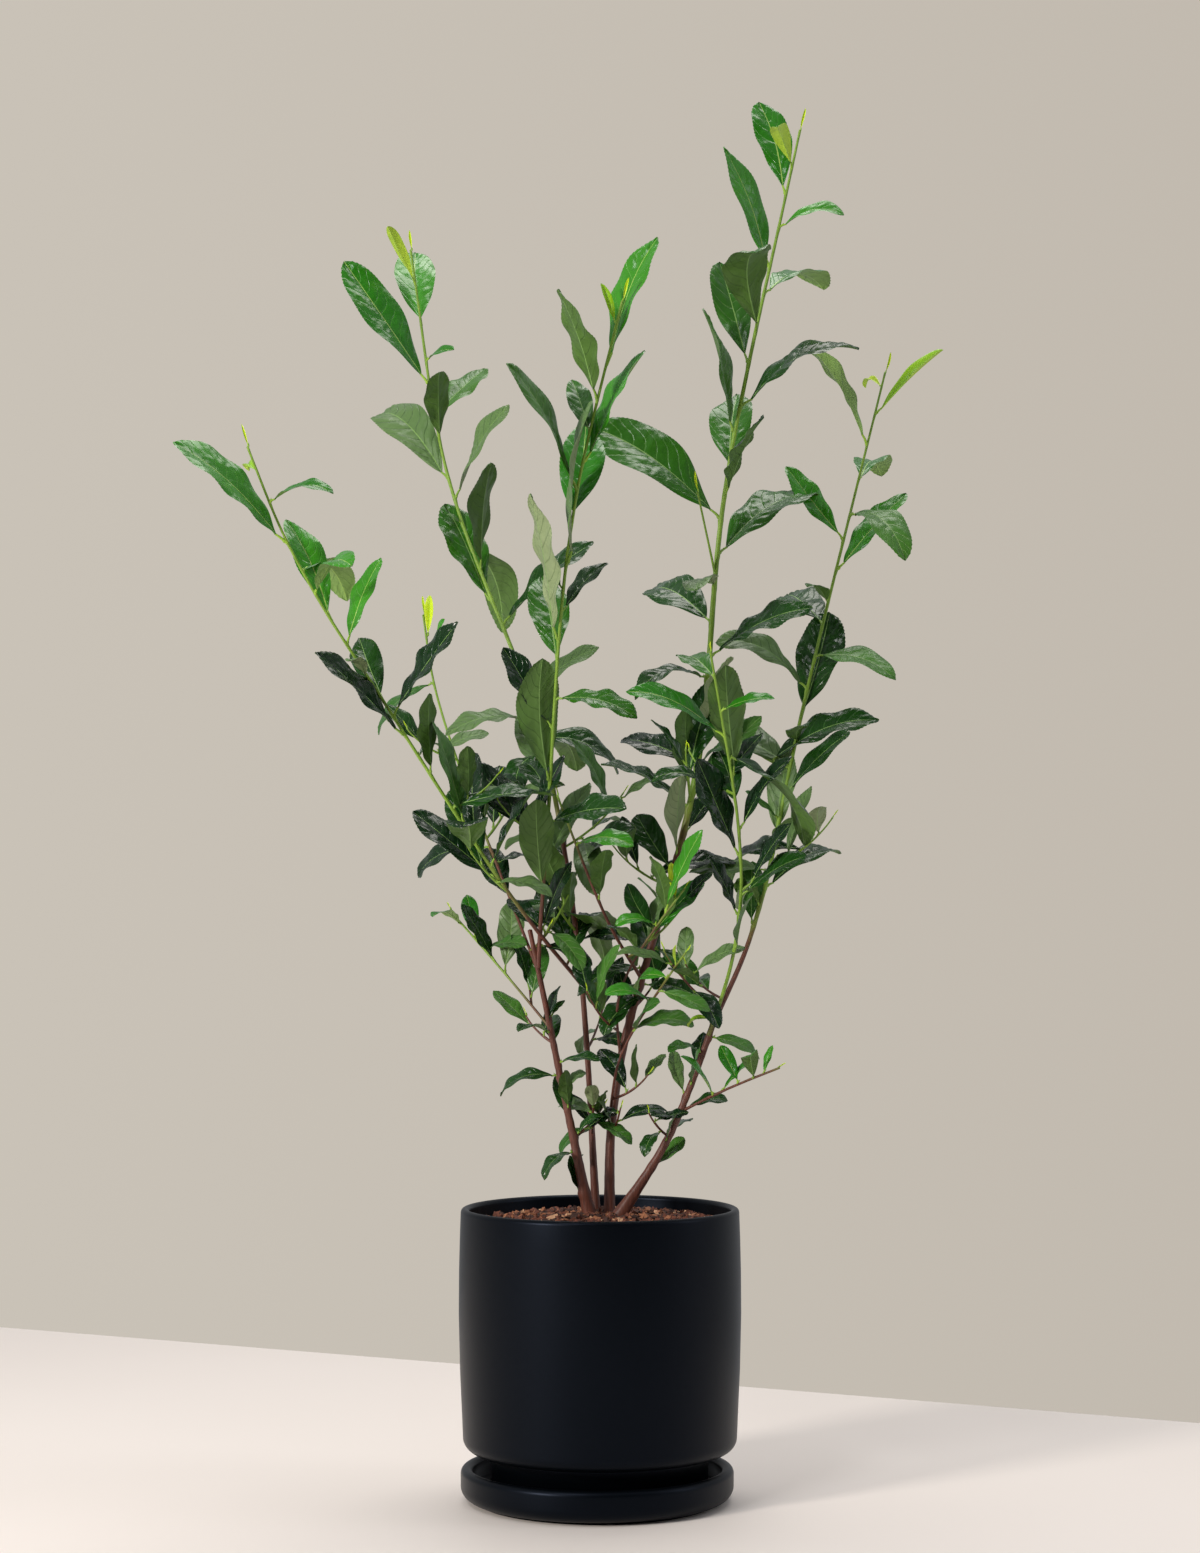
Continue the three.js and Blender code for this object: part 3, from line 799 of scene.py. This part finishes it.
# region: the limbs whose leaves it gathers
REGIONS = {
    "far_left": ("shoot_far_left",),
    "left": ("stem_middle",),
    "centre": ("shoot_centre",),
    "tall": ("stem_tall", "shoot_small_side"),
    "right": ("shoot_right", "stem_right"),
    "front": ("shoot_front_right",),
    "back_left": ("shoot_back_left",),
    "low": (
        "shoot_low_left", "shoot_inner", "shoot_leaning", "shoot_crossing", "shoot_low_right", "stem_left",
    ),
}
region_of = {limb: region for region, limbs in REGIONS.items() for limb in limbs}
heaps = {(region, kind): Heap() for region in REGIONS for kind in ("mature", "young")}
cushions = {limb: [] for limb in LIMBS}


def tube(line, radii, sides):
    """A round tube along a line of points that mostly climbs or runs sideways."""
    ways = np.gradient(line, axis=0)
    ways /= np.linalg.norm(ways, axis=1)[:, None]
    start = np.cross(ways[0], (0.31, 0.9, 0.27))
    rims = []
    for way in ways:
        start = unit(start - way * np.dot(start, way))
        rims.append((start, np.cross(way, start)))
    rims = np.array(rims)
    angles = np.linspace(0, 2 * np.pi, sides, endpoint=False)
    ring = np.cos(angles)[None, :, None] * rims[:, 0, None] + np.sin(angles)[None, :, None] * rims[:, 1, None]
    points = line[:, None] + ring * np.asarray(radii)[:, None, None]
    return points.reshape(-1, 3), grid_faces(len(line), sides, closed=True)


def bent(start, middle, end, steps):
    """Points of a smooth bend from start to end, drawn towards middle."""
    t = np.linspace(0, 1, steps)[:, None]
    return (1 - t) ** 2 * start + 2 * t * (1 - t) * middle + t**2 * end


def finish_number(kind, name):
    """The place of a finish among the materials of a mature or a young piece."""
    return list(MATURE_FINISHES if kind == "mature" else YOUNG_FINISHES).index(name)


def grow_leaf(limb, height, reach, broad, looks, age, curl):
    """A leaf that stands on a limb at a height. Its tip lies at reach, in mm, from there, it is
    broad mm across, and its upper face looks in the direction looks."""
    point, way, radius = along_limb(limb, height)
    reach = np.asarray(reach, float)
    size = np.linalg.norm(reach)
    outward = unit(reach - way * np.dot(reach, way) + (0.001, 0, 0))
    stalk = np.clip(0.085 * size, 1.5, 9)
    foot = point + outward * (radius + 0.22 * stalk) + way * stalk * 0.35 + unit(reach) * stalk * 0.55
    face = unit(unit(looks) + draw.normal(0, 0.08, 3))
    points, faces, on_rib, veins = blade(foot, point + reach, face, broad, age, curl)

    kind = "mature" if age in MATURE_AGES else "young"
    uppers, under, rib = AGE_FINISHES[age]
    if age == "old":
        uppers = uppers[:2] if height < SHADED_BELOW else uppers[1:]
    upper = finish_number(kind, uppers[draw.integers(len(uppers))])
    rib = finish_number(kind, rib)
    finish = np.concatenate([np.where(on_rib, rib, upper), np.where(on_rib, rib, finish_number(kind, under))])
    heap = heaps[region_of[limb], kind]
    heap.add(points * MM, faces, finish, veins)

    green = finish_number(kind, "green_stalk" if kind == "mature" else "fresh_stalk")
    thick = 0.55 + 0.5 * min(1, size / 100)
    start = point + outward * radius * 0.4 - way * 0.1 * stalk
    line = bent(start, point + outward * (radius + 0.12 * stalk) + way * 0.35 * stalk, foot + unit(reach), 7)
    stalk_points, stalk_faces = tube(line, np.linspace(1.2, 0.75, 7) * thick, STALK_SIDES)
    heap.add(stalk_points * MM, stalk_faces, green)
    bud_foot = point + outward * (radius + 0.4)
    bud_line = np.linspace(0, 1, 5)[:, None] * unit(outward * 0.5 + way) * BUD_LENGTH + bud_foot
    bud_points, bud_faces = tube(bud_line, np.array([0.5, 0.95, 0.8, 0.45, 0.05]) * thick, BUD_SIDES)
    heap.add(bud_points * MM, bud_faces, green)
    cushions[limb].append((point[2], math.atan2(outward[1], outward[0])))


print("regions:", {region: len(limbs) for region, limbs in REGIONS.items()})

# %% [markdown]
# ## How far the leaves reach
#
# The construction model has a closed lump for every clump of leaves, and leaves out the gaps. So the
# lumps say where leaves stand and how long they may be. The surface is found by a ray that is shot
# from well outside back towards the limb. A lump is the close body of a clump. The tips stand well out
# of it, but at most a few millimetres out of the whole model's box.

# %% The room that a clump gives
FAR_OUTSIDE = 200.0  # mm, further than any leaf reaches
STANDING_OUT = 1.9  # a leaf's length over the lump's reach that way
BOX_MARGIN = 6.0  # mm that a tip may pass the model's box
model_box = np.array(cad_box) / MM


def limb_of(mass):
    """The limb that bears a clump, by the clump's name."""
    return next(limb for limb in LIMBS if mass.startswith(f"leaves_{limb}_"))


masses_of = {limb: [] for limb in LIMBS}
surface_of = {}
for name in sorted(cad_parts):
    if name.startswith("leaves_"):
        masses_of[limb_of(name)].append(name)
        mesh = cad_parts[name].data
        corners = [v.co / MM for v in mesh.vertices]
        surface_of[name] = BVHTree.FromPolygons(corners, [tuple(face.vertices) for face in mesh.polygons])


def lump_reach(limb, point, ahead):
    """How far the limb's own clumps reach from a point, in mm, or 0 where they leave a gap."""
    start = point + FAR_OUTSIDE * ahead
    furthest = 0.0
    for name in masses_of[limb]:
        found = surface_of[name].ray_cast(Vector(start), Vector(-ahead), FAR_OUTSIDE)
        if found[0] is not None:
            furthest = max(furthest, FAR_OUTSIDE - found[3])
    return furthest


def room(limb, point, ahead, least=0.0):
    """The length in mm that a leaf may have from a point on a limb. A twig gives it some at least."""
    edges = np.where(ahead > 0, model_box[1] + BOX_MARGIN, model_box[0] - BOX_MARGIN)
    to_box = ((edges - point) / np.where(np.abs(ahead) < 1e-6, 1e-6, ahead)).min()
    return min(max(STANDING_OUT * lump_reach(limb, point, ahead), least), to_box)


print("clumps:", {limb: len(names) for limb, names in masses_of.items() if names})

# %% [markdown]
# ## The rule that grows the leaves
#
# Tea sets its leaves one by one up the shoot, each about 137.5 degrees round from the last, with one
# to three centimetres of shoot between them. The rule walks up every limb in that way. A leaf climbs,
# spreads or hangs, and a spreading one curls over under its own weight. Its upper face looks up and in
# towards the shoot, and turns a little to the light at the window. So a leaf behind the shoot shows its
# upper face to the front, and one before it shows its underside. Leaves on the woody foot are small,
# and the higher a shoot has grown, the larger are its leaves. Those near a tip are young, those below
# them bright, and the old ones are dark, with a pale one among them and one in a pale grey-green that
# is painted sheen, light glancing off its wax.

# %% Habits of growth
GOLDEN_ANGLE = 137.5  # degrees from one leaf to the next
NODE_SPACES = ((230, 450, 650, 1000), (9, 15, 23, 27))  # mm of limb between two leaves, by height
LEAF_LENGTHS = ((230, 330, 450, 600, 780, 1000), (32, 44, 72, 98, 116, 126))  # mm, by height
SHORTEST = 13.0  # mm, a leaf that would come out shorter is left off
WINDOW = np.array([-0.35, -0.85, 0.4])  # where the most light comes from
TURNS_TO_LIGHT = 1.15
YOUNG_SIZES = ((0, 16, 34, 52), (0.26, 0.36, 0.62, 1.0))  # share of the full length, by mm below the tip
TALL = 640.0  # mm, a limb whose tip is above this is in full growth
SHORT_SHOOT_AGE = 2.5  # how much sooner below its tip any other limb has full-grown leaves
TWIG_AGE = 185.0  # mm, a twig's leaves are as old as those that far below a limb's tip
TWIG_LEAF = 42.0  # mm, the room that a twig gives its leaves outside the clumps too
# manner of growing: its share of the leaves, least and greatest rise, least and greatest curl, in degrees
MANNERS = {
    "climbs": (0.50, 35, 72, 8, 30),
    "spreads": (0.35, -2, 34, 25, 85),
    "hangs": (0.15, -42, -8, 40, 95),
}
# mm below the tip: ages that a leaf there may have
AGES = (
    (34, ("young",)),
    (120, ("bright", "bright", "bright", "mid")),
    (180, ("bright", "old", "painted_sheen", "mid")),
    (2000, ("old", "old", "old", "old", "mid", "painted_sheen")),
)
# age: least and greatest width over length
SLIMNESS = {
    "young": (0.24, 0.32),
    "bright": (0.32, 0.4),
    "painted_sheen": (0.32, 0.4),
    "mid": (0.34, 0.43),
    "old": (0.35, 0.44),
}
MANNER_NAMES = list(MANNERS)
MANNER_SHARES = [manner[0] for manner in MANNERS.values()]


def age_at(below_tip):
    """The age of a leaf that stands so many mm of limb below the tip."""
    ages = next(ages for reach, ages in AGES if below_tip < reach)
    return ages[draw.integers(len(ages))]


def upper_face(ahead):
    """The direction in which a leaf that points ahead holds its upper face."""
    up = np.array([0, 0, 1.0]) - ahead * ahead[2]
    return unit(unit(up + (0.001, 0, 0)) + TURNS_TO_LIGHT * WINDOW)


def towards(plan, rise):
    """A direction from its angle in plan, counted from the right to the back, and its rise."""
    flat = math.cos(rise)
    return np.array([flat * math.cos(plan), flat * math.sin(plan), math.sin(rise)])


# %% Leaves by rule
def leaf_at(limb, height, plan, manner):
    """One leaf at a height, towards an angle in plan, as long as its age and its clump allow."""
    _, least_rise, greatest_rise, least_curl, greatest_curl = MANNERS[manner]
    ahead = towards(plan, np.radians(draw.uniform(least_rise, greatest_rise)))
    point, way, _ = along_limb(limb, height)
    on_twig = limb.startswith("twig")
    tip_height = limb_lines[limb][0][-1, 2]
    pace = 1 if tip_height > TALL else SHORT_SHOOT_AGE
    below_tip = pace * (tip_height - height) / way[2] + TWIG_AGE * on_twig
    grown = np.interp(height, *LEAF_LENGTHS) * np.interp(below_tip, *YOUNG_SIZES) * draw.uniform(0.7, 1.1)
    length = min(grown, room(limb, point, ahead, TWIG_LEAF * on_twig))
    if length < SHORTEST:
        return
    age = age_at(below_tip)
    broad = length * draw.uniform(*SLIMNESS[age])
    curl = draw.uniform(least_curl, greatest_curl)
    grow_leaf(limb, height, ahead * length, broad, upper_face(ahead), age, curl)


def clothe(limb, first=4.0):
    """Leaves all the way up a limb or twig, from so many mm above its foot."""
    line, _ = limb_lines[limb]
    height, plan = line[1, 2] + first, draw.uniform(0, 2 * np.pi)
    while height < line[-1, 2] - 3:
        plan += np.radians(GOLDEN_ANGLE + draw.normal(0, 9))
        leaf_at(limb, height, plan, MANNER_NAMES[draw.choice(len(MANNERS), p=MANNER_SHARES)])
        _, way, _ = along_limb(limb, height)
        height += np.interp(height, *NODE_SPACES) * draw.uniform(0.7, 1.3) * way[2]


for limb in LIMBS:
    clothe(limb)
print("leaves on the limbs:", sum(len(marks) for marks in cushions.values()))

# %% [markdown]
# ### Side twigs
#
# Where a stem was picked or pruned, it breaks into short side twigs with a few leaves each, which
# makes the lower half of the bush close. A twig leaves its limb at a wide angle, bends upwards and
# ends in a small bud. It follows the same rule as the limbs do, on a smaller scale.

# %% Twigs by rule
TWIG_SPACE = (52, 96)  # mm of limb between two twigs
TWIG_LENGTH = (26, 62)
TWIG_RADII = (0.95, 0.5)  # mm, at its foot and at its tip
TWIGS_FROM, TWIGS_TO = 262.0, 540.0  # mm of height
TWIG_POINTS = 9
twig_limbs = []


def grow_twig(limb, height, plan):
    """A side twig that starts in a limb at a height and bends up as it goes."""
    point, _, _ = along_limb(limb, height)
    length = draw.uniform(*TWIG_LENGTH)
    lying, rising = towards(plan, np.radians(draw.uniform(12, 38))), towards(plan, np.radians(68))
    tip = point + length * unit(lying + 0.5 * rising)
    line = bent(point, point + 0.55 * length * lying, tip, TWIG_POINTS)
    name = f"twig_{len(twig_limbs)}"
    limb_lines[name] = line, np.linspace(*TWIG_RADII, TWIG_POINTS)
    region_of[name], masses_of[name] = region_of[limb], masses_of[limb]
    cushions[name] = []
    twig_limbs.append(name)
    clothe(name, first=3.0)


for limb in LIMBS:
    line, _ = limb_lines[limb]
    height, plan = max(line[1, 2] + 12, TWIGS_FROM), draw.uniform(0, 2 * np.pi)
    while height < min(line[-1, 2] - 25, TWIGS_TO):
        plan += np.radians(GOLDEN_ANGLE + draw.normal(0, 15))
        grow_twig(limb, height, plan)
        height += draw.uniform(*TWIG_SPACE)
print("twigs:", len(twig_limbs), "- all leaves:", sum(len(marks) for marks in cushions.values()))

# %% Tips
PRUNED = ("stem_left", "stem_right")
LONG_BUD, SHORT_BUD = 15.0, 6.0
TO_THE_FRONT = np.array([0, -1.0, 0])
for limb in (*LIMBS, *twig_limbs):
    if limb not in PRUNED:
        line, _ = limb_lines[limb]
        length = LONG_BUD if line[-1, 2] > TALL else SHORT_BUD
        reach = unit(line[-1] - line[-3]) * length + (1, 2, 2)
        grow_leaf(limb, line[-1, 2] - 0.5, reach, 0.25 * length, TO_THE_FRONT, "bud", 8)
print("all leaves and buds:", sum(len(marks) for marks in cushions.values()))

# %% Leaf pieces
for region, limbs in REGIONS.items():
    own = [name for limb in limbs for name in masses_of[limb]]
    tops = [name for name in own if name.endswith("_top")]
    shares = {"young": tops, "mature": [name for name in own if name not in tops]}
    for kind, finishes in (("young", YOUNG_FINISHES), ("mature", MATURE_FINISHES)):
        heap = heaps[region, kind]
        if not heap.count:
            continue
        materials = [finish_materials[name] for name in finishes]
        piece = heap.build(f"{kind}_leaves_{region}", materials, veined=True)
        if shares[kind]:
            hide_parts(*shares[kind])

# %% [markdown]
# ## Bark
#
# The stems are woody at the foot, with thin reddish-brown bark that splits lengthwise, and green and
# smooth higher up, where they grew this year. Under each leaf is a swollen cushion. The tube follows
# the limb's middle line in steps of about two millimetres, so that ridges and cushions show.

# %% Bark surface
RING_STEP = 2.2
BARK_SIDES = 16


def limb_bark(limb, ridges):
    """A limb's surface with lengthwise ridges, leaf cushions and a collar at its foot."""
    line, radii = limb_lines[limb]
    lengths = np.concatenate([[0], np.cumsum(np.linalg.norm(np.diff(line, axis=0), axis=1))])
    count = int(lengths[-1] / RING_STEP)
    at = np.linspace(0, lengths[-1], count)
    centre = np.stack([np.interp(at, lengths, line[:, axis]) for axis in range(3)], -1)
    radius = np.interp(at, lengths, radii)[:, None]
    angles = np.linspace(0, 2 * np.pi, BARK_SIDES, endpoint=False)[None, :]
    z = centre[:, 2:3]
    phases = draw.uniform(0, 2 * np.pi, 6)
    relief = 0.5 * np.sin(3 * angles + 0.021 * z + phases[0])
    relief = relief + np.sin(5 * angles - 0.013 * z + phases[1]) * np.sin(0.06 * z + phases[2])
    relief = relief + 0.7 * np.sin(0.21 * z + phases[3] + 2 * angles) * np.sin(0.33 * z + phases[4])
    swelling = 1 + ridges * relief
    for height, bearing in cushions[limb]:
        turn = np.angle(np.exp(1j * (angles - bearing)))
        nearness = np.exp(-(((z - height + 1.2) / 2.4) ** 2))
        swelling = swelling + nearness * (0.08 + 0.34 * np.exp(-((turn / 0.75) ** 2)))
    swelling = swelling + 0.35 * np.exp(-at[:, None] / 5) * (limb.startswith("shoot"))
    swelling = swelling + 0.30 * np.exp(-at[:, None] / 14) * (limb.startswith("stem"))
    size = radius * swelling
    ways = np.gradient(centre, axis=0)
    ways /= np.linalg.norm(ways, axis=1)[:, None]
    sideways = np.cross((0, 1, 0), ways)
    sideways /= np.linalg.norm(sideways, axis=1)[:, None]
    depthways = np.cross(ways, sideways)
    ring = np.cos(angles)[..., None] * sideways[:, None] + np.sin(angles)[..., None] * depthways[:, None]
    rings = centre[:, None] + ring * size[..., None]
    cap = np.repeat(rings[-1].mean(0)[None, None] + ways[-1] * radius[-1] * 0.4, BARK_SIDES, 1)
    rings = np.concatenate([rings, cap])
    return rings.reshape(-1, 3) * MM, grid_faces(count + 1, BARK_SIDES, closed=True)


# %% [markdown]
# ### Ripening bark
#
# Tea wood starts as smooth green rind and ripens from below into thin red-brown bark, with lengthwise
# streaks about a millimetre apart. The height at which a limb changes is its own, so each limb gets
# the finish with its own height.

# %% Bark finish
RIPE_UP_TO = {
    "stem_left": 700, "stem_middle": 500, "stem_tall": 490, "stem_right": 700, "shoot_centre": 455,
    "shoot_far_left": 440, "shoot_right": 415, "shoot_front_right": 340, "shoot_back_left": 480,
    "shoot_low_left": 365, "shoot_inner": 480, "shoot_leaning": 420, "shoot_crossing": 380,
    "shoot_low_right": 330, "shoot_small_side": 500,
}
TWIG_RIPE_UP_TO = 400
RIPENING = 45.0  # mm of limb over which the colour turns
BORDER_WANDER = 0.05  # metres by which the border goes up and down


def ripening_bark(name, ripe_up_to):
    """Streaked brown bark up to a height in mm, and above it green rind, with an uneven border."""
    material, tree, place = new_material(name)
    height = add_node(tree, "ShaderNodeSeparateXYZ", links={"Vector": place}).outputs["Z"]
    blotches = noise(tree, place, 90.0, 3.0)
    level = calculated(tree, "ADD", height, links={1: calculated(tree, "MULTIPLY", blotches, BORDER_WANDER)})
    start = (ripe_up_to - RIPENING / 2) * MM + BORDER_WANDER / 2
    turning_green = ramp(tree, level, start, start + RIPENING * MM)
    stretch = add_node(tree, "ShaderNodeVectorMath", {1: (1.0, 1.0, 0.12)}, {0: place}, operation="MULTIPLY")
    streaks = noise(tree, stretch.outputs[0], 900.0)
    brown = blend(tree, streaks, "#26100b", "#7a4433")
    green = blend(tree, blotches, "#557a18", "#88ac38")
    colour = blend(tree, turning_green, brown, green)
    surface(tree, {"Roughness": 0.5}, {"Base Color": colour, "Normal": bump(tree, streaks, 0.6, 0.4)})
    return material


for limb in LIMBS:
    bark_heap = Heap()
    ridges = 0.05 if limb.startswith("stem") else 0.03
    bark_heap.add(*limb_bark(limb, ridges))
    bark = bark_heap.build("bark_" + limb, [ripening_bark("ripening_bark_" + limb, RIPE_UP_TO[limb])])
    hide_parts(limb)

twig_heap = Heap()
for twig in twig_limbs:
    twig_heap.add(*limb_bark(twig, 0.02))
twigs = twig_heap.build("side_twigs", [ripening_bark("ripening_bark_twigs", TWIG_RIPE_UP_TO)])
